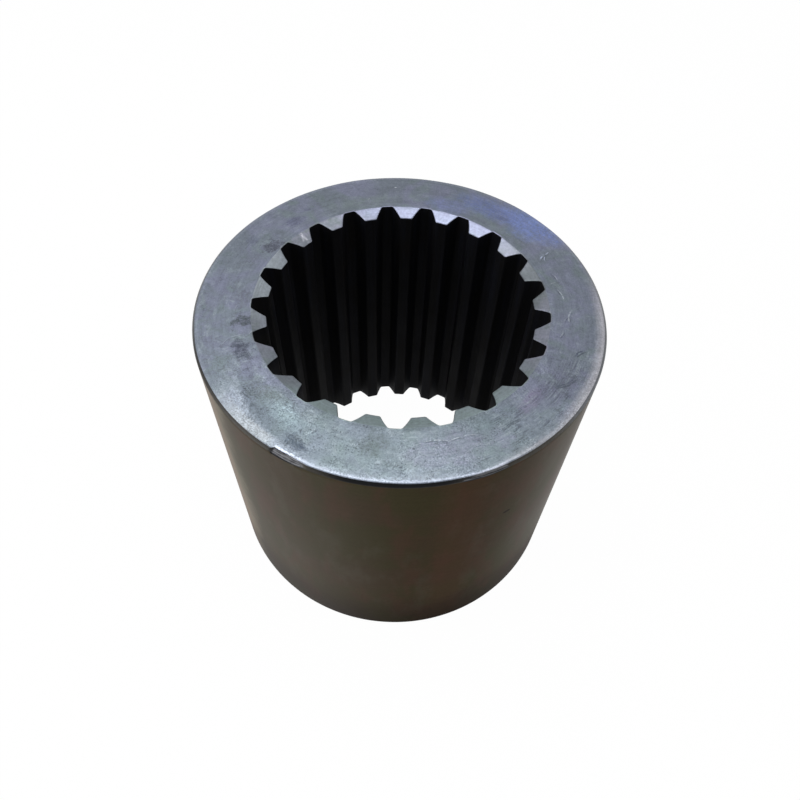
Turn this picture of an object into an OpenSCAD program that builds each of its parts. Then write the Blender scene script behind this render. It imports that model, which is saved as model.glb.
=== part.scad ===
// Rigid splined coupling sleeve: one turned steel ring with involute teeth broached through its bore.
// It stands on its lower end face, where the teeth end square. A cone leads a shaft in at the upper end.
// The origin is the centre of the lower face, +Z runs up the bore, and one tooth space is centred on -Y.
// All lengths are in millimetres.

/* [Sleeve] */
// Outer diameter
outer_d = 76; // [68:0.5:110]
// Length from one end face to the other
sleeve_len = 65; // [20:0.5:150]
// Width of the small bevel around the outer edge of each end face
edge_bevel = 0.5; // [0.1:0.1:2]

/* [Internal spline] */
// Number of teeth
teeth = 21; // [14:1:25]
// Module, the pitch diameter divided by the number of teeth
spline_module = 2.5; // [1.25:0.25:3]
// Pressure angle on the pitch circle, in degrees
pressure_angle = 30; // [27:0.5:33]
// Height of a tooth from the pitch circle in to its tip, in modules
tip_height = 0.5; // [0.4:0.02:0.6]
// Depth of a tooth space from the pitch circle out to its root, in modules
root_depth = 0.58; // [0.5:0.02:0.7]
// Radius of the fillets in the corners of a root, in modules
root_fillet = 0.2; // [0.06:0.02:0.2]
// Radius of the rounded corners of a tooth's tip, in modules
tip_rounding = 0.18; // [0.06:0.02:0.2]

/* [Lead-in] */
// Slope of the cone that leads a shaft in at the upper end, from the end face, in degrees
lead_in_slope = 20; // [10:1:45]
// Gap on the end face between the rim of that cone and the root circle
lead_in_gap = 0.1; // [0.05:0.05:0.5]

/* [Hidden] */
$fn = 128;

flank_steps = 7;
fillet_steps = 4;
corner_steps = 3;
cut_overrun = 1;

outer_r = outer_d / 2;
pitch_r = spline_module * teeth / 2;
base_r = pitch_r * cos(pressure_angle);
tip_r = pitch_r - tip_height * spline_module;
root_r = pitch_r + root_depth * spline_module;
fillet_r = root_fillet * spline_module;
corner_r = tip_rounding * spline_module;
lead_in_r = root_r - lead_in_gap;
lead_in_depth = (lead_in_r - tip_r) * tan(lead_in_slope);

// Point at radius r, turned by angle a from -Y.
function polar(r, a) = [r * sin(a), -r * cos(a)];

// Involute function, in degrees, and the pressure angle at radius r.
function involute(a) = tan(a) * 180 / PI - a;
function pressure_at(r) = acos(base_r / r);

// Half the angle of a tooth space: on the pitch circle it is half of half a tooth pitch,
// and the involute flanks draw together from there towards the root.
space_half_at_base = 90 / teeth + involute(pressure_angle);
function space_half(r) = space_half_at_base - involute(pressure_at(r));

// A line parallel to an involute is another involute of the same base circle, turned by gap / base_r.
// So the fillet's centre lies on the parallel at fillet_r from the flank, and fillet_r inside the root circle.
fillet_centre_r = root_r - fillet_r;
fillet_half = space_half(fillet_centre_r) - fillet_r / base_r * 180 / PI;
fillet_centre = polar(fillet_centre_r, fillet_half);

// The centre of the tip's corner lies the same way, on the other side of the flank.
corner_centre_r = tip_r + corner_r;
corner_half = space_half(corner_centre_r) + corner_r / base_r * 180 / PI;
corner_centre = polar(corner_centre_r, corner_half);

// Both meet the flank on a common normal, which is a tangent line of the base circle.
fillet_normal = fillet_half + 90 - pressure_at(fillet_centre_r);
corner_normal = corner_half - 90 - pressure_at(corner_centre_r);
flank_end_r = norm([base_r, base_r * tan(pressure_at(fillet_centre_r)) + fillet_r]);
flank_start_r = norm([base_r, base_r * tan(pressure_at(corner_centre_r)) - corner_r]);

// Right-hand side of a tooth space, from the tip circle out to the middle of the root.
function corner_points() = [
    for (i = [0:corner_steps - 1])
        let (a = corner_half - 180 + (corner_normal - corner_half + 180) * i / corner_steps)
        corner_centre + polar(corner_r, a)
];
function flank_points() = [
    for (i = [0:flank_steps])
        let (r = flank_start_r + (flank_end_r - flank_start_r) * i / flank_steps)
        polar(r, space_half(r))
];
function fillet_points() = [
    for (i = [1:fillet_steps])
        let (a = fillet_normal + (fillet_half - fillet_normal) * i / fillet_steps)
        fillet_centre + polar(fillet_r, a)
];
outward = concat(corner_points(), flank_points(), fillet_points());

// The first chord starts a little inside the tip circle, so that the cut crosses it cleanly.
cut_start = outward[0] + (outward[0] - outward[1]) / 2;
right_side = concat(
    [polar(tip_r - cut_overrun, corner_half), cut_start],
    [for (i = [1:len(outward) - 1]) outward[i]]
);
left_side = [for (i = [len(right_side) - 1:-1:0]) [-right_side[i].x, right_side[i].y]];

module tooth_space() {
    polygon(concat(right_side, [polar(root_r, 0)], left_side));
}

module turned_ring() {
    rotate_extrude()
        polygon([
            [tip_r, 0],
            [outer_r - edge_bevel, 0],
            [outer_r, edge_bevel],
            [outer_r, sleeve_len - edge_bevel],
            [outer_r - edge_bevel, sleeve_len],
            [lead_in_r, sleeve_len],
            [tip_r, sleeve_len - lead_in_depth]
        ]);
}

module broached_spaces() {
    for (i = [0:teeth - 1])
        rotate([0, 0, i * 360 / teeth])
            translate([0, 0, -cut_overrun])
                linear_extrude(height = sleeve_len + 2 * cut_overrun)
                    tooth_space();
}

module sleeve() {
    color([0.46, 0.48, 0.51])
        difference() {
            turned_ring();
            broached_spaces();
        }
}

sleeve();
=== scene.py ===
from math import radians, tan

import bpy
import numpy as np
from mathutils import Matrix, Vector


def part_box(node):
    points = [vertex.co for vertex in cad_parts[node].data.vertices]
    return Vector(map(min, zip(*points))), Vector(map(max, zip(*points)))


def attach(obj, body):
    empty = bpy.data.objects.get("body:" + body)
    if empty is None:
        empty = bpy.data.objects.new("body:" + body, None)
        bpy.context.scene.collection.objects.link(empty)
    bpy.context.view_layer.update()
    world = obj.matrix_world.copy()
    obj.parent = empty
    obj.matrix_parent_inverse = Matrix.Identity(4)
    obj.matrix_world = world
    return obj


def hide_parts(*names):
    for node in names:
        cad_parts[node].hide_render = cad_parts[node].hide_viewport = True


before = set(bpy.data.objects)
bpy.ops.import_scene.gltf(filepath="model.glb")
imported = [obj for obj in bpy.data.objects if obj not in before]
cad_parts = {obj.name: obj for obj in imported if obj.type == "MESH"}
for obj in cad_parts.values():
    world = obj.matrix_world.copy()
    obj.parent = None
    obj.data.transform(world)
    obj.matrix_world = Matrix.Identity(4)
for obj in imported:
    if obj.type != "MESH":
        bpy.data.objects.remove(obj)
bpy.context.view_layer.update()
print("frame loaded")

mm = 0.001
outerRadius, _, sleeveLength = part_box("sleeve")[1]


# camera, set up like the photograph: it looks down on the front of the sleeve, a little off level
cameraSetup = {
    "place": (0.85 * mm, -85.52 * mm, 156.1 * mm),
    "turn": -0.8,           # degrees about the vertical
    "lookDown": 50.71,      # degrees below the horizon
    "tilt": 3.36,           # degrees about the line of sight
    "lens": 30.15,          # millimetres
    "sensor": 36,           # its width in millimetres
    "shift": (-0.0126, -0.065),   # in picture widths
    "clipStart": 5 * mm,
}


def addCamera(setup):
    data = bpy.data.cameras.new("camera")
    data.lens = setup["lens"]
    data.sensor_width = setup["sensor"]
    data.shift_x, data.shift_y = setup["shift"]
    data.clip_start = setup["clipStart"]
    camera = bpy.data.objects.new("camera", data)
    bpy.context.scene.collection.objects.link(camera)
    camera.matrix_world = (
        Matrix.Translation(setup["place"])
        @ Matrix.Rotation(radians(setup["turn"]), 4, "Z")
        @ Matrix.Rotation(radians(90 - setup["lookDown"]), 4, "X")
        @ Matrix.Rotation(radians(setup["tilt"]), 4, "Z")
    )
    bpy.context.scene.camera = camera


addCamera(cameraSetup)
print("camera placed")


# the spline, sized like the real sleeve's: heights and roundings in modules
spline = {
    "teeth": 21,
    "module": 2.5 * mm,
    "pressureAngle": radians(30),
    "tipHeight": 0.5,
    "rootDepth": 0.58,
    "rootFillet": 0.2,
    "tipRounding": 0.18,
    "leadInSlope": radians(20),
    "leadInGap": 0.1 * mm,     # from the rim of the lead-in cone out to the root circle
}

edges = {
    "toothEndRounding": 0.12 * mm,
    "bevel": 0.5 * mm,
    # how unevenly the bevel was filed, as waves around the rim: their number, height and start
    "bevelWaves": [(3, 0.025 * mm, 1.0), (8, 0.0175 * mm, 2.1), (19, 0.01125 * mm, 0.4)],
    "bevelFlat": (0.08, 0.92),  # the share of its width where it runs straight
    "softening": 0.05 * mm,     # half width of the strip that turns from one surface to the next
    "sharpAngle": radians(32),  # from which two faces meet in a sharp edge
}

# knocks on the upper rim, in degrees around it: depth is how far each eats into the end face,
# drop is how far it reaches down the wall, and leap is the share of its span in which it starts
knocks = [
    {"start": 239.5, "span": 9.8, "leap": 0.03, "depth": 0.5 * mm, "drop": 0.3 * mm},
    {"start": 285.2, "span": 13.6, "leap": 0.45, "depth": 0.02 * mm, "drop": 0.3 * mm},
]

pointsPerPart = {"root": 3, "fillet": 5, "flank": 6, "tipCorner": 5, "tip": 3}
rowsPerPart = {"bore": 5, "toothEnd": 4, "leadIn": 5, "face": 12, "bevel": 5, "wall": 13}
# how strongly the rows crowd towards an edge of the end face: evenly spaced at 1, closer above it
crowding = {"bore": 1.6, "face": 1.5, "wall": 1.5}

# the finish of each part; the lower end has no lead-in
finishOrder = ["bore", "leadIn", "face", "rim", "wall"]
upperFinish = {
    "bore": "bore",
    "toothEnd": "leadIn",
    "leadIn": "leadIn",
    "face": "face",
    "bevel": "rim",
    "wall": "wall",
}
lowerFinish = {**upperFinish, "toothEnd": "face", "leadIn": "face"}


def involute(angle):
    return np.tan(angle) - angle


def splineOutline(spline, count):
    # Closed outline of the bore, anticlockwise from the middle of the root on -Y, as x and y, and
    # its root radius.
    # Flank: half angle at r = quarter pitch + inv(pressure angle) - inv(arccos(base radius / r)),
    # where inv(a) = tan(a) - a. A line parallel to it at a gap g is the same curve turned by
    # g / base radius, which places the centres of the roundings at both its ends.
    pitchRadius = spline["module"] * spline["teeth"] / 2
    baseRadius = pitchRadius * np.cos(spline["pressureAngle"])
    rootRadius = pitchRadius + spline["rootDepth"] * spline["module"]
    tipRadius = pitchRadius - spline["tipHeight"] * spline["module"]
    halfPitch = np.pi / spline["teeth"]

    def halfAngle(radius):
        return halfPitch / 2 + involute(spline["pressureAngle"]) - involute(np.arccos(baseRadius / radius))

    def rounding(radius, centreRadius, side, steps):
        # radii and angles along a rounding's arc; side is -1 for a root's fillet, +1 for a tip's corner
        centreAngle = halfAngle(centreRadius) + side * radius / baseRadius
        onCircle = centreAngle + (np.pi if side > 0 else 0)
        onFlank = onCircle + np.pi / 2 - np.arccos(baseRadius / centreRadius)
        turn = np.linspace(onCircle, onFlank, steps)[::-side]
        x = centreRadius * np.sin(centreAngle) + radius * np.sin(turn)
        y = centreRadius * np.cos(centreAngle) + radius * np.cos(turn)
        return np.hypot(x, y), np.arctan2(x, y)

    fillet = spline["rootFillet"] * spline["module"]
    corner = spline["tipRounding"] * spline["module"]
    filletR, filletA = rounding(fillet, rootRadius - fillet, -1, count["fillet"])
    cornerR, cornerA = rounding(corner, tipRadius + corner, 1, count["tipCorner"])
    rootA = np.linspace(0, filletA[0], count["root"])[:-1]
    flankR = np.linspace(filletR[-1], cornerR[0], count["flank"] + 2)[1:-1]
    tipA = np.linspace(cornerA[-1], halfPitch, count["tip"] + 1)[1:]
    rootR = np.full(len(rootA), rootRadius)
    tipR = np.full(len(tipA), tipRadius)
    radius = np.concatenate([rootR, filletR, flankR, cornerR, tipR])
    angle = np.concatenate([rootA, filletA, halfAngle(flankR), cornerA, tipA])
    # the other half is its mirror image, and shares the middle points of the root and the tip
    radius = np.concatenate([radius, radius[-2:0:-1]])
    angle = np.concatenate([angle, 2 * halfPitch - angle[-2:0:-1]])
    around = (angle + 2 * halfPitch * np.arange(spline["teeth"])[:, None]).ravel()
    radius = np.tile(radius, spline["teeth"])
    return np.stack([radius * np.sin(around), -radius * np.cos(around)], 1), rootRadius


def intoMetal(outline):
    # unit normals away from the bore: the chord between a point's neighbours, turned by a right angle
    chord = np.roll(outline, -1, 0) - np.roll(outline, 1, 0)
    normal = np.stack([chord[:, 1], -chord[:, 0]], 1)
    return normal / np.linalg.norm(normal, axis=1, keepdims=True)


def knockAt(angle, knock):
    # 0 outside a knock; inside it climbs to 1 over its leap, then falls off as 1 - t cubed
    along = (np.degrees(angle) - knock["start"]) % 360 / knock["span"]
    fall = 1 - np.clip((along - knock["leap"]) / (1 - knock["leap"]), 0, 1) ** 3
    return np.minimum(along / knock["leap"], fall)


def halfSleeve(outline, rootRadius, upper):
    # Rows of points from the middle of the bore over one end face to the middle of the outer wall.
    # A point is x, y, its depth below that end face, toEdge and knocked. toEdge is the distance in from
    # the face's outer edge; the bevel takes it from 0 to -bevel, however wide it is there, and the wall
    # goes on from that. knocked is how hard the rim is knocked at that angle, from 0 to 1.
    cone = tan(spline["leadInSlope"]) if upper else 0
    coneRadius = rootRadius - spline["leadInGap"]
    rounding, soft = edges["toothEndRounding"], edges["softening"]
    normal = intoMetal(outline)
    outlineAngle = np.unwrap(np.arctan2(outline[:, 1], outline[:, 0]))
    evenAngle = outlineAngle[0] + 2 * np.pi * np.arange(len(outline)) / len(outline)

    # the bevel's width wanders around the rim, and the knocks widen it
    waves = sum(height * np.sin(count * evenAngle + start) for count, height, start in edges["bevelWaves"])
    bevel = edges["bevel"] + waves
    amounts = [knockAt(evenAngle, knock) * upper for knock in knocks]
    depth = sum(amount * knock["depth"] for amount, knock in zip(amounts, knocks))
    drop = sum(amount * knock["drop"] for amount, knock in zip(amounts, knocks))
    edgeRadius = outerRadius - bevel - depth
    bevelDepth = bevel + drop
    knocked = sum(amounts)

    def coneDepth(radius):
        return np.maximum(coneRadius - radius, 0) * cone

    def patch(radius, angle, depth, toEdge):
        point = np.broadcast_arrays(radius * np.cos(angle), radius * np.sin(angle), depth, toEdge, knocked)
        return np.stack(point, 2)

    # tooth ends: a quarter turn of the rounding from the straight wall onto the cone
    quarter = np.linspace(0, np.pi / 2, rowsPerPart["toothEnd"])[:, None]
    endXY = outline[None] + normal[None] * (rounding * (1 - np.cos(quarter)))[..., None]
    endR = np.linalg.norm(endXY, axis=2)
    endA = np.unwrap(np.arctan2(endXY[..., 1], endXY[..., 0]), axis=1)
    endDepth = coneDepth(endR) + rounding * (1 - np.sin(quarter))
    toothEnd = patch(endR, endA, endDepth, edgeRadius - endR)

    # bore: straight down from the tooth ends
    down = np.linspace(1, 0, rowsPerPart["bore"] + 1)[:-1, None] ** crowding["bore"]
    boreDepth = endDepth[:1] + (sleeveLength / 2 - endDepth[:1]) * down
    borePatch = patch(endR[:1], endA[:1], boreDepth, edgeRadius - endR[:1])

    # lead-in cone: straight out from each tooth end to the cone's rim
    startR, startA = endR[-1], endA[-1]
    rimRadius = np.maximum(coneRadius, startR + soft)
    out = np.linspace(0, 1, rowsPerPart["leadIn"] + 1)[1:, None]
    coneR = startR + np.maximum((rimRadius - soft - startR) * out, soft * out / 2)
    leadIn = patch(coneR, startA, coneDepth(coneR), edgeRadius - coneR)

    # end face: out from the cone's rim, while the columns spread evenly around
    across = 1 - np.linspace(1, 0, rowsPerPart["face"])[:, None] ** crowding["face"]
    faceR = rimRadius + soft + (edgeRadius - rimRadius - 2 * soft) * across
    faceA = startA + (evenAngle - startA) * across
    face = patch(faceR, faceA, 0, edgeRadius - faceR)

    # bevel: straight down and out, rounded off where it meets the face and the wall
    slide = np.linspace(*edges["bevelFlat"], rowsPerPart["bevel"])[:, None]
    bevelR = edgeRadius + (outerRadius - edgeRadius) * slide
    bevelPatch = patch(bevelR, evenAngle, bevelDepth * slide, -edges["bevel"] * slide)

    # outer wall, straight down to the middle
    wallStart = bevelDepth + soft
    down = np.linspace(0, 1, rowsPerPart["wall"])[:, None] ** crowding["wall"]
    wallDepth = wallStart + (sleeveLength / 2 - wallStart) * down
    wall = patch(outerRadius, evenAngle, wallDepth, bevelDepth - edges["bevel"] - wallDepth)
    return {
        "bore": borePatch,
        "toothEnd": toothEnd,
        "leadIn": leadIn,
        "face": face,
        "bevel": bevelPatch,
        "wall": wall,
    }


def sleeveGrid():
    # both halves joined into one closed ring of rows: upper bore, upper end, wall, lower end, lower bore
    outline, rootRadius = splineOutline(spline, pointsPerPart)
    upper = halfSleeve(outline, rootRadius, True)
    lower = halfSleeve(outline, rootRadius, False)
    upperRows = np.concatenate(list(upper.values()))
    lowerRows = np.concatenate(list(lower.values()))[::-1]
    upperRows[..., 2] = sleeveLength - upperRows[..., 2]

    def strips(half, finishOf):
        # the strip between two rows is dressed as the first one's part
        numbers = [np.full(len(part), finishOrder.index(finishOf[name])) for name, part in half.items()]
        return np.concatenate(numbers)[:-1]

    # the halves share their middle rows
    rows = np.concatenate([upperRows, lowerRows[1:-1]])
    return rows, np.concatenate([strips(upper, upperFinish), strips(lower, lowerFinish)[::-1]])


def gridMesh(name, rows, finishes):
    # a grid that closes both ways: face (i, j) has the corners (i, j), (i+1, j), (i+1, j+1), (i, j+1)
    rowCount, columnCount = rows.shape[:2]
    number = np.arange(rowCount * columnCount).reshape(rowCount, columnCount)
    nextRow = np.roll(number, -1, 0)
    corners = np.stack([number, nextRow, np.roll(nextRow, -1, 1), np.roll(number, -1, 1)], 2)
    mesh = bpy.data.meshes.new(name)
    mesh.from_pydata(rows[..., :3].reshape(-1, 3), [], corners.reshape(-1, 4))
    mesh.polygons.foreach_set("material_index", np.repeat(finishes, columnCount).astype(np.int32))
    for mark, values in (("toEdge", rows[..., 3] / mm), ("knocked", rows[..., 4])):
        attribute = mesh.attributes.new(mark, "FLOAT", "POINT")
        attribute.data.foreach_set("value", values.ravel().astype(np.float32))
    mesh.validate()
    mesh.shade_smooth()
    mesh.set_sharp_from_angle(angle=edges["sharpAngle"])
    return mesh


rows, finishNumbers = sleeveGrid()
print("sleeve worked out:", rows.shape[0], "rows of", rows.shape[1], "points")


class Wire:
    # an output socket; an expression on it adds Math nodes
    def __init__(self, nodes, socket):
        self.nodes, self.socket = nodes, socket

    def maths(self, operation, *values):
        return self.nodes.node("ShaderNodeMath", {"operation": operation}, dict(enumerate(values)))

    def __add__(self, other):
        return self.maths("ADD", self, other)

    __radd__ = __add__

    def __sub__(self, other):
        return self.maths("SUBTRACT", self, other)

    def __rsub__(self, other):
        return self.maths("SUBTRACT", other, self)

    def __mul__(self, other):
        return self.maths("MULTIPLY", self, other)

    __rmul__ = __mul__

    def __abs__(self):
        return self.maths("ABSOLUTE", self)

    def larger(self, other):
        return self.maths("MAXIMUM", self, other)

    def between(self, low, high):
        # low where this is 0, high where it is 1
        return low + self * (high - low)

    def swing(self, amount):
        # a noise runs about 0.5; this runs about 0, by up to half the amount
        return (self - 0.5) * amount


class Nodes:
    # the nodes of a material or of the world
    def __init__(self, owner):
        owner.use_nodes = True
        self.tree = owner.node_tree
        self.tree.nodes.clear()

    def node(self, kind, settings=None, inputs=None, output=0):
        new = self.tree.nodes.new(kind)
        for key, value in (settings or {}).items():
            setattr(new, key, value)
        for key, value in (inputs or {}).items():
            if isinstance(value, Wire):
                self.tree.links.new(value.socket, new.inputs[key])
            else:
                new.inputs[key].default_value = value
        return Wire(self, new.outputs[output]) if new.outputs else None

    def seenWhite(self):
        # 1 for what the camera sees, straight, in a gloss or through glass
        rays = ("Is Camera Ray", "Is Glossy Ray", "Is Transmission Ray")
        camera, glossy, transmitted = (self.node("ShaderNodeLightPath", output=ray) for ray in rays)
        return camera.larger(glossy).larger(transmitted)


# stains and scratches: a fade goes from 0 to 1 between two distances from the middle of a mark, which
# are counted in its half lengths or half widths, as is the size of the clouds that make a stain ragged
marks = {
    "stainFade": (1.15, 0.35),
    "stainClouds": 0.7,
    "ragged": dict(detail=5, roughness=0.75),
    "scratchEnds": (1, 0.4),
    "scratchSides": (1.2, 0),
    "scratchShadow": 1.6,      # from a scratch to the dark line at its right
    "unbroken": dict(size=0.6, detail=2, roughness=0.6, shift=31, low=0.36, high=0.56),
}

oilFilm = {"roughness": 0.42, "refraction": 1.14}


class Paint(Nodes):
    # a finish; places and sizes are in millimetres
    def __init__(self, name):
        self.material = bpy.data.materials.new(name)
        super().__init__(self.material)
        place = self.node("ShaderNodeTexCoord", output="Object")
        self.place = self.vector("SCALE", place, scale=1 / mm)
        self.x, _, self.z = self.parts(self.place)
        self.flat = self.vector("MULTIPLY", self.place, (1, 1, 0))
        self.toEdge = self.mark("toEdge")

    def vector(self, operation, *values, scale=None, output=0):
        inputs = dict(enumerate(values))
        if scale is not None:
            inputs["Scale"] = scale
        return self.node("ShaderNodeVectorMath", {"operation": operation}, inputs, output)

    def parts(self, vector):
        return [self.node("ShaderNodeSeparateXYZ", inputs={0: vector}, output=i) for i in range(3)]

    def mark(self, name):
        return self.node("ShaderNodeAttribute", {"attribute_name": name}, output="Fac")

    def step(self, value, low, high, top=1.0):
        # 0 at low, top at high, smooth between
        inputs = {"Value": value, "From Min": low, "From Max": high, "To Max": top}
        return self.node("ShaderNodeMapRange", {"interpolation_type": "SMOOTHSTEP"}, inputs)

    def side(self, low, high, x=0, y=0, z=0, top=1.0):
        # one side of the sleeve: a step of the place along the direction x, y, z
        return self.step(self.vector("DOT_PRODUCT", self.place, (x, y, z), output="Value"), low, high, top)

    def overlap(self, sides):
        first, second = sides
        return self.side(**first) * self.side(**second)

    def noise(self, size, detail, roughness, shift=0.0, swirl=0.0, place=None):
        # size is the width of one cloud in millimetres; shift slides the noise, so that no two look alike
        point = self.vector("SCALE", place or self.place, scale=1 / size)
        point = self.vector("ADD", point, (shift, shift * 0.7, shift * 1.3))
        inputs = {"Vector": point, "Scale": 1.0, "Detail": detail}
        inputs.update({"Roughness": roughness, "Distortion": swirl})
        return self.node("ShaderNodeTexNoise", {}, inputs)

    def patches(self, low, high, top=1.0, **noise):
        return self.step(self.noise(**noise), low, high, top)

    def rings(self, width, length, shift=0.0, across=None):
        # turning marks around the bore axis: the noise runs by direction, and across by radius and height
        spoke = self.vector("SCALE", self.vector("NORMALIZE", self.flat), scale=outerRadius / mm / length)
        across = across or self.vector("LENGTH", self.flat, output="Value") + self.z
        across = self.node("ShaderNodeCombineXYZ", inputs={2: across * (1 / width)})
        place = self.vector("ADD", spoke, across)
        return self.noise(size=1, detail=2, roughness=0.6, shift=shift, place=place)

    def local(self, s):
        # a mark's own coordinates: 1 at its half length and half width
        inputs = {
            "Vector": self.place,
            "Location": (*s["at"], 0),
            "Rotation": (0, 0, radians(s["turn"])),
            "Scale": (*s["size"], 1),
        }
        return self.node("ShaderNodeMapping", {"vector_type": "TEXTURE"}, inputs)

    def stain(self, s):
        # a ragged oval, 1 in its middle
        away = self.vector("LENGTH", self.vector("MULTIPLY", self.local(s), (1, 1, 0)), output="Value")
        clouds = self.noise(min(s["size"]) * marks["stainClouds"], shift=s["at"][0], **marks["ragged"])
        return self.step(away + clouds.swing(s["ragged"]), *marks["stainFade"], s["strength"])

    def stained(self, colour, stains, where=1.0):
        for s in stains:
            colour = self.mix(self.stain(s) * where, colour, s["colour"])
        return colour

    def scratched(self, colour, scratches, dark, where=1.0):
        # thin bent and broken lines that fade at their ends, each with a dark line of painted shade along its
        # right side
        unbroken = self.patches(**marks["unbroken"])
        for s in scratches:
            along, across, _ = self.parts(self.local(s))
            across = across + along * along * s["bend"]
            shown = self.step(abs(along), *marks["scratchEnds"], s["strength"]) * unbroken * where
            shadow = self.step(abs(across + marks["scratchShadow"]), *marks["scratchSides"])
            colour = self.mix(shadow * shown, colour, dark)
            colour = self.mix(self.step(abs(across), *marks["scratchSides"]) * shown, colour, s["colour"])
        return colour

    def mix(self, amount, first, second):
        return self.node("ShaderNodeMix", {"data_type": "RGBA"}, {0: amount, 6: first, 7: second}, 2)

    def bump(self, height, distance):
        return self.node("ShaderNodeBump", {}, {"Height": height, "Distance": distance})

    def finish(self, colour, roughness, normal, metallic, specular=0.5, film=0.0):
        # film is how much of a thin, faint coat of oil lies over the metal
        shader = self.node("ShaderNodeBsdfPrincipled", {}, {
            "Base Color": colour,
            "Roughness": roughness,
            "Normal": normal,
            "Metallic": metallic,
            "Specular IOR Level": specular,
            "Coat Weight": film,
            "Coat Roughness": oilFilm["roughness"],
            "Coat IOR": oilFilm["refraction"],
        })
        self.node("ShaderNodeOutputMaterial", {}, {"Surface": shader})
        return self.material


def tone(red, green, blue):
    # a colour as a picture program shows it, 0 to 255, made linear
    value = np.array([red, green, blue]) / 255
    return (*np.where(value < 0.04045, value / 12.92, ((value + 0.055) / 1.055) ** 2.4), 1.0)


def spot(at, size, turn, ragged, strength, colour=(0, 0, 0)):
    # a stain: its middle, half length and half width in millimetres, and its turn from +X in degrees;
    # one that only marks out a place has no colour of its own
    colour = tone(*colour)
    return {"at": at, "size": size, "turn": turn, "ragged": ragged, "strength": strength, "colour": colour}


def scratch(at, size, turn, bend, strength, colour):
    # the same for a scratch, which bends by so many of its half widths
    colour = tone(*colour)
    return {"at": at, "size": size, "turn": turn, "bend": bend, "strength": strength, "colour": colour}


upperHalf = dict(z=1, low=0.4 * sleeveLength / mm, high=0.6 * sleeveLength / mm)

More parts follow.
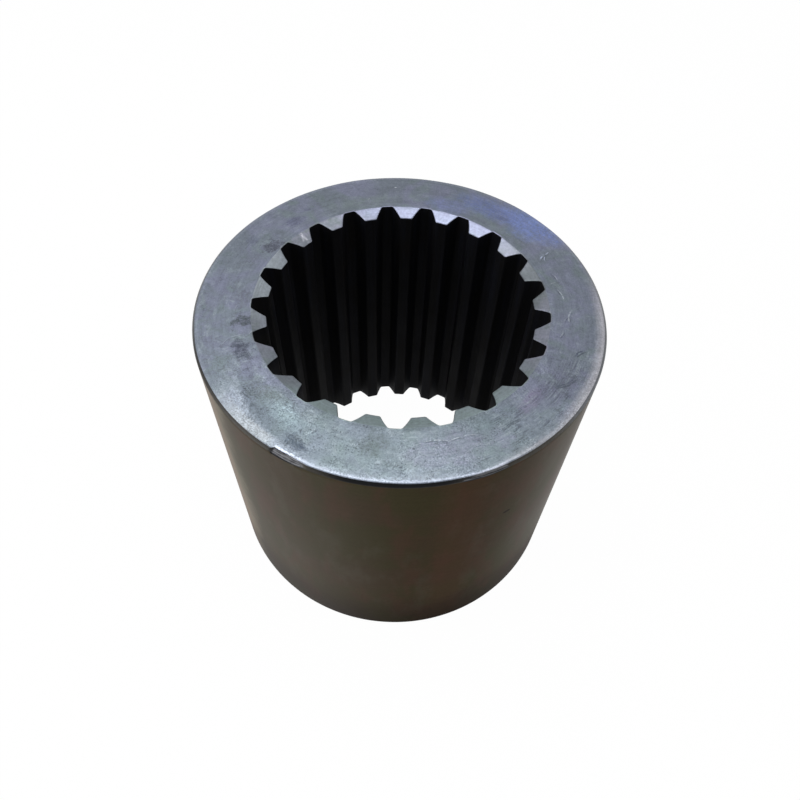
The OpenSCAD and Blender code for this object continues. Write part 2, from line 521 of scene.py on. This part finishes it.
# In the finishes, patches are where a noise passes from low to high, a side is where the place along
# the direction x, y, z does, and top is the most that they reach. A fade is a step's low and high, and
# its top if that isn't 1. Shares are what the 0 and the 1 of a mask are turned into.
faceFinish = {
    "steel": tone(91, 98, 108),
    "lavender": tone(98, 102, 119),
    "green": tone(90, 102, 103),
    "pale": tone(124, 134, 140),
    "dark": tone(60, 66, 76),
    "dull": tone(66, 76, 80),
    "speck": tone(40, 44, 52),
    "frontSheen": tone(106, 120, 123),
    "edge": tone(164, 171, 186),
    "beige": tone(164, 162, 167),
    "cream": tone(154, 157, 156),
    "band": tone(132, 140, 150),
    "metallic": 0.75,
    "roughness": (0.36, 0.52),
    "grainRoughness": 0.3,
    "relief": 0.03 * mm,
    "grainRelief": 0.6,
    "turnedRelief": 0.5,
    "pitRelief": 0.3,

    "clouds": dict(size=9, detail=5, roughness=0.6, swirl=0.8),
    "cloudFade": (0.4, 0.62),
    "mottle": dict(size=1.6, detail=5, roughness=0.68, shift=2, swirl=1.2),
    "grain": dict(size=0.24, detail=2, roughness=0.6, shift=9),
    "turned": dict(width=0.3, length=4.5, shift=3),
    "brushed": dict(width=0.5, length=7, shift=13),

    "front": dict(x=-0.3, y=-1, low=-26, high=24),      # from the back right to the front left
    "nearFront": dict(y=-1, low=2, high=30),
    "greenPatches": dict(size=6, detail=4, roughness=0.6, shift=4, swirl=1, low=0.5, high=0.66, top=0.55),
    # painted sheen: where the front of the face is painted lighter, as lit by the lamp above
    "frontSheenSide": dict(y=-1, low=16, high=30, top=0.5),
    "palePatches": dict(size=2.6, detail=5, roughness=0.7, shift=12, swirl=1, low=0.5, high=0.68),
    "paleShares": (0.2, 0.5),
    "darkPatches": dict(size=2.2, detail=5, roughness=0.7, shift=22, swirl=1, low=0.54, high=0.7),
    "darkShares": (0.2, 0.4),

    # marks of the lathe: dark and pale rings, in patches
    "latheSide": dict(x=1, y=-1.2, low=36, high=50),    # the front right
    "lathePatches": dict(size=3.2, detail=3, roughness=0.6, shift=33, low=0.4, high=0.56),
    "darkRings": (0.54, 0.64),
    "darkRingShares": (0.1, 0.6),
    "paleRings": (0.46, 0.36),
    "paleRingShares": (0.1, 0.5),

    # the worn front left corner of the upper end face, outside a circle that isn't the bore's
    "corner": {"centre": (-6, -12.4, 0), "radius": 21.9, "ragged": 2},
    "cornerShare": spot((-21.3, -25.8), (11, 7), -50, 0.6, 1.0),
    "cornerFade": (-0.4, 0.7, 0.68),
    # painted shade: the soft dark line along the corner's inner side, as in a shallow groove
    "cornerGrooveShade": (2.8, 0.4, 0.42),
    "cornerGrooveShadeGap": 1.3,

    "pittedPatches": dict(size=3.5, detail=3, roughness=0.6, shift=27, low=0.46, high=0.62),
    "pitted": spot((-11.5, -30), (8.5, 4), -22, 1.5, 0.8),
    "pits": dict(size=0.3, detail=1, roughness=0.5, shift=17, low=0.58, high=0.68),
    "pitShares": (0.1, 0.55),

    # the outer edge: at which distances in from it each band fades, and on which sides it shows
    "wander": dict(size=0.8, detail=4, roughness=0.65, shift=7),
    "leftEdge": [dict(x=-1, low=17.5, high=20.5), dict(y=-1, low=14, high=27)],
    "frontEdge": dict(y=-1, low=22, high=33),
    "rightEdge": [dict(x=1, low=24, high=31), dict(y=-1, low=-12, high=2)],
    "leftBand": (2.5, 1.9, 0.34),
    "leftBandSide": dict(y=-1, low=17, high=31),
    "frontBand": (2.3, 1.0),
    "frontBandShares": (0.2, 0.05),
    "rightBand": (2.6, 0.7, 0.5),
    # painted highlight: the bright line along the outer edge, where the edge catches light
    "line": (1.3, 0.9),
    "lineNarrowing": 0.35,      # how much thinner a knock leaves it
    "lineShares": {"all": 0.1, "front": 0.45, "right": 0.5, "knocked": 0.4},
    "beigeSide": dict(x=1, low=12, high=24),
    # painted shade: a dark strip at the very edge of the face, at the front
    "edgeShade": (0.22, 0.1, 0.75),
    "edgeShadeSide": dict(y=-1, low=27, high=33),

    # how much the noises lighten and darken the face: everywhere, and more in rough places and the corner
    "roughPatches": dict(size=4, detail=4, roughness=0.6, shift=41, low=0.4, high=0.6),
    "grainContrast": {"all": 0.8, "rough": 1.4, "corner": 0.7},
    "mottleContrast": {"all": 0.65, "rough": 0.2, "corner": 0.4},
    "turnedContrast": 0.3,
    "brushedContrast": 0.45,

    # what years of handling left on the upper face, broken up into small flecks
    "flecks": dict(size=0.7, detail=4, roughness=0.7, shift=55, swirl=1.5, low=0.4, high=0.58),
    "fleckShares": (0.5, 1),
    "stains": [
        spot((9, 28.6), (6.5, 3), -14, 1.2, 0.6, (98, 106, 146)),
        spot((17.5, 28.5), (9, 3.6), -32, 1.1, 0.8, (88, 100, 142)),
        spot((26.2, 23.6), (8.5, 5), -46, 1.4, 0.85, (99, 114, 164)),
        spot((20.2, 25.3), (1.8, 0.8), -30, 2, 0.6, (66, 72, 96)),
        spot((-9, 28.4), (9, 2.4), 17, 1.4, 0.5, (98, 110, 108)),
        spot((-22.8, 21.2), (2.4, 1.5), 30, 2.6, 0.75, (70, 74, 94)),
        spot((-20.6, 25.2), (1.2, 0.7), 10, 2, 0.5, (72, 76, 96)),
        spot((-26.1, 13.6), (2.2, 1.9), 40, 4, 0.95, (58, 60, 72)),
        spot((-30.3, 14.8), (2.2, 1.4), 70, 3, 0.6, (76, 80, 100)),
        spot((-29.5, 9.5), (2.6, 1.6), 40, 3, 0.4, (82, 84, 100)),
        spot((-28.2, -6.4), (2.7, 1.5), 20, 5, 0.95, (52, 58, 62)),
        spot((-29.2, -1), (1.5, 3), 0, 3, 0.5, (74, 78, 86)),
        spot((-31.5, -8.5), (3, 1.6), -40, 3.6, 0.4, (84, 92, 100)),
        spot((-27.2, -13.2), (2.8, 1.7), -50, 5, 0.95, (54, 58, 70)),
        spot((-21.9, -22.6), (3.6, 1.9), -30, 2.8, 0.6, (86, 95, 94)),
        spot((-17.5, -26.5), (5.5, 2.2), -38, 2, 0.5, (128, 146, 152)),
        spot((-15.5, -31.6), (2.5, 1.6), -35, 3.4, 0.95, (48, 56, 70)),
        spot((6.1, -34.3), (5, 1.8), 10, 2, 0.4, (132, 142, 152)),
        spot((21.4, -28.4), (6, 2), 37, 1.5, 0.45, (82, 90, 96)),
        spot((-3.2, -30.6), (3.0, 2.6), -8, 3, 0.7, (74, 83, 84)),
        spot((2.6, -32.4), (3.4, 1.8), 6, 2, 0.45, (126, 136, 144)),
        spot((9.5, -30.6), (9.5, 3.4), 15, 2.6, 0.5, (114, 114, 134)),
        spot((15.5, -25.4), (6, 2.2), 34, 2.4, 0.5, (84, 96, 102)),
        spot((22.5, -21), (4, 1.6), 55, 1.8, 0.45, (104, 92, 118)),
        spot((27.5, -18), (7, 3.4), 48, 1.2, 0.5, (76, 78, 94)),
    ],
    "scratches": [
        scratch((27.5, 14.2), (1.5, 0.2), 52, 2, 0.85, (150, 158, 182)),
        scratch((28.2, 14.9), (1.2, 0.18), 30, -2, 0.8, (150, 158, 180)),
        scratch((27.9, 13.7), (0.8, 0.16), 84, 1, 0.7, (146, 154, 174)),
        scratch((29.6, 8.6), (1.4, 0.16), -62, 2, 0.6, (146, 150, 164)),
        scratch((28.8, 6.8), (0.9, 0.16), 30, 2, 0.5, (142, 148, 158)),
        scratch((30.3, 3.8), (1.8, 0.18), -72, 2, 0.75, (144, 152, 160)),
        scratch((31, -1.6), (1.8, 0.2), 76, 2, 0.8, (146, 154, 160)),
        scratch((30.2, -2.4), (1.0, 0.16), 60, 1, 0.6, (142, 150, 158)),
        scratch((29.2, -6.2), (1.4, 0.18), 60, -3, 0.65, (142, 150, 158)),
        scratch((28.9, -17.1), (3, 0.26), 31, -3, 0.9, (66, 72, 84)),
        scratch((31.7, -10.3), (1.5, 0.28), 38, 1, 0.95, (58, 64, 80)),
        scratch((25.3, -24.5), (2.6, 0.18), 38, 2, 0.6, (72, 78, 90)),
        scratch((-13.6, -29.4), (2.4, 0.22), 42, 0, 0.6, (140, 150, 158)),
        scratch((-28.6, -10), (1.2, 0.12), 20, 0.6, 0.4, (140, 146, 156)),
        scratch((-26.6, -9.4), (0.8, 0.12), 58, -0.6, 0.5, (144, 148, 160)),
        scratch((-30.6, -11.6), (1.2, 0.1), 62, 1, 0.4, (140, 146, 158)),
        scratch((-30.2, -3.4), (1.1, 0.1), 80, 1, 0.4, (140, 146, 154)),
        scratch((6.2, -29.6), (3.4, 0.13), 9, 6, 0.7, (150, 158, 164)),
        scratch((10.8, -28.6), (3, 0.13), 18, 4, 0.7, (148, 156, 164)),
        scratch((18.6, -25.8), (3, 0.18), 36, 3, 0.8, (64, 72, 82)),
        scratch((20.4, -22.8), (2, 0.16), 44, 3, 0.7, (66, 70, 86)),
        scratch((-8.2, 29.4), (0.7, 0.15), 85, 0, 0.5, (150, 158, 160)),
        scratch((-2.7, 34), (0.3, 0.2), 0, 0, 0.8, (170, 176, 184)),
    ],
}


def faceSteel(c):
    p = Paint("ground end face")
    upper = p.side(**upperHalf)
    front = p.side(**c["front"])
    nearFront = p.side(**c["nearFront"])
    knocked = p.mark("knocked") * upper
    clouds = p.noise(**c["clouds"])
    mottle = p.noise(**c["mottle"])
    grain = p.noise(**c["grain"])
    turned = p.rings(**c["turned"])
    brushed = p.rings(**c["brushed"])
    colour = p.mix(p.step(clouds, *c["cloudFade"]), c["steel"], c["lavender"])
    colour = p.mix(p.patches(**c["greenPatches"]), colour, c["green"])
    # painted sheen: the front of the face painted lighter, as lit by the lamp above
    colour = p.mix(p.side(**c["frontSheenSide"]), colour, c["frontSheen"])
    colour = p.mix(p.patches(**c["palePatches"]) * front.between(*c["paleShares"]), colour, c["pale"])
    colour = p.mix(p.patches(**c["darkPatches"]) * front.between(*c["darkShares"]), colour, c["dark"])
    flecks = p.patches(**c["flecks"]).between(*c["fleckShares"])
    colour = p.stained(colour, c["stains"], upper * flecks)
    # rings of the lathe, most at the front right
    lathe = p.side(**c["latheSide"])
    patches = p.patches(**c["lathePatches"])
    rings = p.step(turned, *c["darkRings"]) * patches * lathe.between(*c["darkRingShares"])
    colour = p.mix(rings, colour, c["dark"])
    rings = p.step(turned, *c["paleRings"]) * patches * lathe.between(*c["paleRingShares"])
    colour = p.mix(rings, colour, c["pale"])
    # the worn corner is paler, and a soft dark line of painted shade, as in a shallow groove, runs along its
    # inner side
    away = p.vector("SUBTRACT", p.flat, c["corner"]["centre"])
    away = p.vector("LENGTH", away, output="Value") - c["corner"]["radius"]
    away = away + mottle.swing(c["corner"]["ragged"])
    corner = p.stain(c["cornerShare"]) * upper
    colour = p.mix(p.step(away, *c["cornerFade"]) * corner, colour, c["band"])
    colour = p.mix(p.step(abs(away + c["cornerGrooveShadeGap"]), *c["cornerGrooveShade"]) * corner, colour, c["dull"])
    colour = p.scratched(colour, c["scratches"], c["dark"], upper)
    # small dark pits, close together in places
    pitted = p.patches(**c["pittedPatches"]).larger(p.stain(c["pitted"]) * upper)
    pits = p.patches(**c["pits"]) * pitted
    colour = p.mix(pits * nearFront.between(*c["pitShares"]), colour, c["speck"])
    # outer edge: a pale band up to the first knock, a bright line of painted highlight from there on, where
    # the edge catches light, over a dark strip of painted shade, and a soft band at the right
    left = p.overlap(c["leftEdge"])
    over = p.side(**c["frontEdge"]) * (1 - left)
    right = p.overlap(c["rightEdge"])
    inward = p.toEdge + p.noise(**c["wander"])
    leftBand = p.step(inward, *c["leftBand"]) * left * p.side(**c["leftBandSide"])
    frontBand = p.step(inward, *c["frontBand"]) * over * knocked.between(*c["frontBandShares"])
    rightBand = p.step(inward, *c["rightBand"]) * right
    shares = c["lineShares"]
    # painted highlight along the outer edge
    line = p.step(inward + knocked * c["lineNarrowing"], *c["line"]) * (1 - left)
    line = line * (
        shares["all"] + over * shares["front"] + right * shares["right"] + knocked * shares["knocked"]
    )
    edge = p.mix(p.side(**c["beigeSide"]), c["edge"], c["beige"])
    edge = p.mix(left, edge, c["cream"])
    colour = p.mix(leftBand.larger(frontBand).larger(rightBand).larger(line), colour, edge)
    # painted shade on the face's outermost strip at the front
    edgeShade = p.step(p.toEdge, *c["edgeShade"]) * p.side(**c["edgeShadeSide"]) * (1 - knocked)
    colour = p.mix(edgeShade, colour, c["dark"])
    # the noises; the rough places lie at the front
    rough = p.patches(**c["roughPatches"]) * nearFront
    level = 1 + turned.swing(c["turnedContrast"]) + brushed.swing(c["brushedContrast"])
    for noise, contrast in ((grain, c["grainContrast"]), (mottle, c["mottleContrast"])):
        level = level + noise.swing(contrast["all"] + rough * contrast["rough"] + corner * contrast["corner"])
    colour = p.vector("SCALE", colour, scale=level)
    roughness = clouds.between(*c["roughness"]) + grain.swing(c["grainRoughness"])
    height = grain * c["grainRelief"] + turned * c["turnedRelief"] - pits * c["pitRelief"]
    return p.finish(colour, roughness, p.bump(height, c["relief"]), c["metallic"])


leadInFinish = {
    "steel": tone(99, 104, 112),
    "pale": tone(110, 112, 125),
    "dull": tone(90, 98, 99),
    "front": tone(114, 130, 130),
    "backReflection": tone(107, 112, 133),
    "metallic": 0.8,
    "roughness": (0.3, 0.42),
    "relief": 0.012 * mm,
    "clouds": dict(size=5, detail=3, roughness=0.6, shift=1),
    "cloudFade": (0.35, 0.65),
    "grain": dict(size=0.5, detail=2, roughness=0.6, shift=3),
    "grainContrast": 0.7,
    "turned": dict(width=0.3, length=10, shift=1),
    "turnedContrast": 0.5,
    "dullPatches": dict(size=3, detail=4, roughness=0.6, shift=6, low=0.5, high=0.66, top=0.7),
    "frontSide": dict(y=-1, low=10, high=24, top=0.7),
    # painted reflection: where the far facets are tinted paler lavender, as where they reflect the light
    # above
    "backReflectionSide": dict(x=0.17, y=1, low=19, high=25, top=0.65),
    "stains": [
        spot((-25.5, 4), (5, 13), 8, 0.8, 0.75, (132, 140, 146)),
        spot((25, 7), (5.5, 15), -18, 0.8, 0.8, (78, 83, 86)),
        spot((-19, -18), (3, 4), 45, 0.8, 0.6, (84, 86, 94)),
    ],
    "smears": [
        scratch((-20.7, 17), (1.3, 0.4), -58, 1, 0.55, (196, 196, 206)),
        scratch((-19.9, 16.6), (1.0, 0.3), -50, 0, 0.45, (190, 190, 200)),
    ],
}


def leadInSteel(c):
    p = Paint("turned lead-in")
    clouds = p.noise(**c["clouds"])
    grain = p.noise(**c["grain"])
    turned = p.rings(**c["turned"])
    colour = p.mix(p.step(clouds, *c["cloudFade"]), c["steel"], c["pale"])
    colour = p.mix(p.patches(**c["dullPatches"]), colour, c["dull"])
    colour = p.mix(p.side(**c["frontSide"]), colour, c["front"])
    # painted reflection: the far facets tinted paler lavender, as where they reflect the light above
    colour = p.mix(p.side(**c["backReflectionSide"]), colour, c["backReflection"])
    colour = p.stained(colour, c["stains"])
    colour = p.scratched(colour, c["smears"], c["dull"])
    level = 1 + grain.swing(c["grainContrast"]) + turned.swing(c["turnedContrast"])
    colour = p.vector("SCALE", colour, scale=level)
    roughness = clouds.between(*c["roughness"])
    return p.finish(colour, roughness, p.bump(grain + turned, c["relief"]), c["metallic"])


rimFinish = {
    "shadow": tone(14, 15, 18),
    "oiled": tone(56, 54, 50),
    # side: the rim's lighter tone away from the front, painted light where the rim is lit
    "side": tone(92, 95, 100),
    "bare": tone(90, 91, 94),
    "scratched": tone(42, 42, 45),
    "metallic": 0.85,
    "roughness": (0.35, 0.45),
    "relief": 0.03 * mm,
    "clouds": dict(size=3, detail=4, roughness=0.65, shift=2),
    "cloudFade": (0.55, 0.75, 0.6),
    "grain": dict(size=0.5, detail=3, roughness=0.6, shift=8),
    "grainContrast": 0.8,
    # painted light: the rim lighter all round but at the front, as lit by the lamps
    "paintedLightSide": dict(x=0.2, y=1, low=-24, high=-12, top=0.8),     # all but the front
    # the shadow under the face's edge lies at the front: in its middle, and fainter at its left end
    "middle": 0.5,
    "middleFade": (14, 7),
    "leftEnd": dict(x=-1, low=18, high=20, top=0.4),
    "frontSide": dict(y=-1, low=6, high=16),
    "shadowFade": (-0.42, -0.15),
    "shadowWidening": 0.2,
    "shadowShares": (0.3, 0.95),
    # knocks: fine streaks of bare metal along the rim, over a shadowed line
    "streaks": dict(width=0.16, length=4, shift=4),
    "streakFade": (0.4, 0.58),
    "knockedRagged": 0.4,
    "knockedFade": (0.1, 0.4),
    "knockedShadow": (-0.4, -0.46, 0.8),
    # painted shade: the small step where the first knock starts, dark as it faces away from the light
    "notchShade": [spot((-19.0, -32.5), (0.1, 0.9), -31, 0.5, 0.5, (18, 18, 20))],
}


def rimSteel(c):
    p = Paint("bevelled rim")
    clouds = p.noise(**c["clouds"])
    grain = p.noise(**c["grain"])
    colour = p.mix(p.step(clouds, *c["cloudFade"]), c["oiled"], c["scratched"])
    # painted light: the rim lighter all round but at the front, as lit by the lamps
    colour = p.mix(p.side(**c["paintedLightSide"]), colour, c["side"])
    streaks = p.rings(**c["streaks"], across=p.toEdge)
    bare = p.mix(p.step(streaks, *c["streakFade"]), c["scratched"], c["bare"])
    knocked = p.step(p.mark("knocked") + grain.swing(c["knockedRagged"]), *c["knockedFade"])
    front = p.step(abs(p.x - c["middle"]), *c["middleFade"]).larger(p.side(**c["leftEnd"]))
    front = front * p.side(**c["frontSide"]) * p.side(**upperHalf)
    shadow = p.step(p.toEdge + front * c["shadowWidening"], *c["shadowFade"])
    shadow = shadow * front.between(*c["shadowShares"]) * (1 - knocked)
    under = p.step(p.toEdge, *c["knockedShadow"]) * knocked
    colour = p.mix(under.larger(shadow), p.mix(knocked, colour, bare), c["shadow"])
    # painted shade on the step where the first knock starts
    colour = p.stained(colour, c["notchShade"])
    colour = p.vector("SCALE", colour, scale=1 + grain.swing(c["grainContrast"]))
    return p.finish(colour, clouds.between(*c["roughness"]), p.bump(grain, c["relief"]), c["metallic"])


wallFinish = {
    "oiled": tone(63, 53, 40),
    "olive": tone(60, 55, 38),
    "rusty": tone(72, 53, 43),
    "grey": tone(76, 70, 60),
    "dark": tone(30, 22, 16),
    "metallic": 0.06,
    "specular": 0,
    "roughness": (0.44, 0.56),
    "relief": 0.01 * mm,
    "grainRelief": 0.5,
    "clouds": dict(size=14, detail=3, roughness=0.5, shift=1.5),
    "cloudFade": (0.4, 0.6),
    "grain": dict(size=0.5, detail=3, roughness=0.65, shift=2.5),
    "grainContrast": 0.3,
    "turned": dict(width=0.5, length=20, shift=2),
    "turnedContrast": 0.15,
    "runs": (1, 1, 0.4),        # patches are drawn out in height, as oil runs down
    "rustyPatches": dict(size=6, detail=3, roughness=0.6, shift=5.5, low=0.48, high=0.66, top=0.6),
    "greyPatches": dict(size=5, detail=4, roughness=0.6, shift=8.5, low=0.5, high=0.7, top=0.35),
    "stains": [
        # the first two are painted reflections: the wall lighter at its left and right edges, where it is
        # seen at a grazing angle; the others are stains
        spot((-33, -17), (9, 19), -30, 1, 0.75, (122, 115, 98)),
        spot((34, -17), (5, 10), 25, 0.7, 0.5, (100, 92, 84)),
        spot((12, -36), (6, 3), 0, 1.2, 0.35, (80, 56, 44)),
        spot((-31.5, -21), (2.6, 3.4), -34, 1.6, 0.35, (112, 82, 70)),
    ],
    # darker towards the lower edge, up to a height that the clouds shift
    "darkBelow": (30, 6, 0.8),
    "darkBelowShift": 18,
    # painted shade: a small dark spot for a dent below the front right of the rim: where, and how wide, deep
    # and high it is
    "dentShade": {"at": (20.4, -32.1, 46.4), "size": (0.9, 0.9, 0.42)},
    "dentShadeFade": (1.2, 0.6, 0.9),
    # the film of oil is thickest on both sides, and thinner lower down, most of all at the right
    "film": 0.05,
    "leftFilm": dict(x=-1, low=-6, high=20),
    "leftFilmShares": (0.8, 0.6),
    "rightFilm": dict(x=1, low=12, high=34),
    "rightFilmShares": (0.8, 0.35),
    "lowDown": dict(z=1, low=30, high=4),
}


def wallSteel(c):
    p = Paint("oiled outer wall")
    clouds = p.noise(**c["clouds"])
    grain = p.noise(**c["grain"])
    turned = p.rings(**c["turned"])
    runs = p.vector("MULTIPLY", p.place, c["runs"])
    colour = p.mix(p.step(clouds, *c["cloudFade"]), c["oiled"], c["olive"])
    colour = p.mix(p.patches(**c["rustyPatches"], place=runs), colour, c["rusty"])
    colour = p.mix(p.patches(**c["greyPatches"], place=runs), colour, c["grey"])
    # the stains include painted reflections at the wall's left and right edges
    colour = p.stained(colour, c["stains"])
    colour = p.mix(p.step(p.z + clouds * c["darkBelowShift"], *c["darkBelow"]), colour, c["dark"])
    # painted shade of the small dent
    away = p.vector("SUBTRACT", p.place, c["dentShade"]["at"])
    away = p.vector("LENGTH", p.vector("DIVIDE", away, c["dentShade"]["size"]), output="Value")
    colour = p.mix(p.step(away, *c["dentShadeFade"]), colour, c["dark"])
    level = 1 + grain.swing(c["grainContrast"]) + turned.swing(c["turnedContrast"])
    colour = p.vector("SCALE", colour, scale=level)
    low = p.side(**c["lowDown"])
    leftFilm = p.side(**c["leftFilm"]) * low.between(*c["leftFilmShares"])
    rightFilm = p.side(**c["rightFilm"]) * low.between(*c["rightFilmShares"])
    film = c["film"] + leftFilm + rightFilm
    relief = p.bump(grain * c["grainRelief"] + turned, c["relief"])
    return p.finish(colour, clouds.between(*c["roughness"]), relief, c["metallic"], c["specular"], film)


# the bore is painted near black: dark steel, darkened further with painted shade, as deep inside the hollow
boreFinish = {
    "shadedBlack": tone(9, 9, 11),
    "blue": tone(15, 16, 22),
    "brown": tone(15, 13, 12),
    "metallic": 0.1,
    "specular": 0.045,
    "roughness": (0.55, 0.75),
    "relief": 0.02 * mm,
    "grainRelief": 0.3,
    "drawn": (1, 1, 0.05),      # streaks are drawn out along the teeth
    "streaks": dict(size=1.2, detail=3, roughness=0.6, shift=1),
    "streakFade": (0.4, 0.7),
    "clouds": dict(size=8, detail=3, roughness=0.5, shift=3),
    "cloudFade": (0.5, 0.7, 0.5),
    "grain": dict(size=0.4, detail=2, roughness=0.5, shift=2),
}


def boreSteel(c):
    p = Paint("dark bore with painted shade")
    streaks = p.noise(**c["streaks"], place=p.vector("MULTIPLY", p.place, c["drawn"]))
    clouds = p.noise(**c["clouds"])
    # painted shade: the near-black colour of the deep bore
    colour = p.mix(p.step(streaks, *c["streakFade"]), c["shadedBlack"], c["blue"])
    colour = p.mix(p.step(clouds, *c["cloudFade"]), colour, c["brown"])
    relief = p.bump(streaks + p.noise(**c["grain"]) * c["grainRelief"], c["relief"])
    return p.finish(colour, clouds.between(*c["roughness"]), relief, c["metallic"], c["specular"])


finishes = {
    "bore": boreSteel(boreFinish),
    "leadIn": leadInSteel(leadInFinish),
    "face": faceSteel(faceFinish),
    "rim": rimSteel(rimFinish),
    "wall": wallSteel(wallFinish),
}
mesh = gridMesh("splined sleeve", rows, finishNumbers)
for name in finishOrder:
    mesh.materials.append(finishes[name])
sleeve = bpy.data.objects.new("splined_sleeve", mesh)
bpy.context.scene.collection.objects.link(sleeve)
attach(sleeve, "root")
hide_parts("sleeve")
print("sleeve dressed")


studio = {
    "floorColour": (0.8, 0.8, 0.8, 1),
    "floorSize": 6.0,
    "floorDrop": 0.05 * mm,    # so that it doesn't touch the sleeve's lower face
    "whiteShare": 0.985,       # how much of the floor's look is plain white to the camera
    "worldLight": 0.35,
    "lamps": {
        "overhead": {"place": (-0.10, 0.06, 0.6), "size": 0.38, "power": 2.5},
        "left": {"place": (-0.55, -0.2, 0.25), "size": 0.4, "power": 1.8},
        "right": {"place": (0.6, -0.05, 0.3), "size": 0.4, "power": 0.8},
    },
}


def addStudio(c):
    half, level = c["floorSize"] / 2, -c["floorDrop"]
    corners = [(-half, -half, level), (half, -half, level), (half, half, level), (-half, half, level)]
    floorMesh = bpy.data.meshes.new("floor")
    floorMesh.from_pydata(corners, [], [(0, 1, 2, 3)])
    floor = bpy.data.objects.new("floor", floorMesh)
    bpy.context.scene.collection.objects.link(floor)
    material = bpy.data.materials.new("pale floor")
    n = Nodes(material)
    matt = n.node("ShaderNodeBsdfDiffuse", {}, {"Color": c["floorColour"]})
    white = n.node("ShaderNodeEmission", {}, {"Color": (1, 1, 1, 1), "Strength": 1.0})
    both = n.node("ShaderNodeMixShader", {}, {0: n.seenWhite() * c["whiteShare"], 1: matt, 2: white})
    n.node("ShaderNodeOutputMaterial", {}, {"Surface": both})
    floorMesh.materials.append(material)

    world = bpy.data.worlds.new("studio")
    bpy.context.scene.world = world
    n = Nodes(world)
    strength = n.seenWhite().between(c["worldLight"], 1)
    light = n.node("ShaderNodeBackground", {}, {"Color": (1, 1, 1, 1), "Strength": strength})
    n.node("ShaderNodeOutputWorld", {}, {"Surface": light})

    for name, lamp in c["lamps"].items():
        data = bpy.data.lights.new(name, "AREA")
        data.shape = "SQUARE"
        data.size = lamp["size"]
        data.energy = lamp["power"]
        lampObject = bpy.data.objects.new(name, data)
        bpy.context.scene.collection.objects.link(lampObject)
        place = Matrix.Translation(lamp["place"])
        aim = (-place.translation).to_track_quat("-Z", "Y").to_matrix().to_4x4()
        lampObject.matrix_world = place @ aim


addStudio(studio)
bpy.context.scene.view_settings.view_transform = "Standard"
print("studio lit")
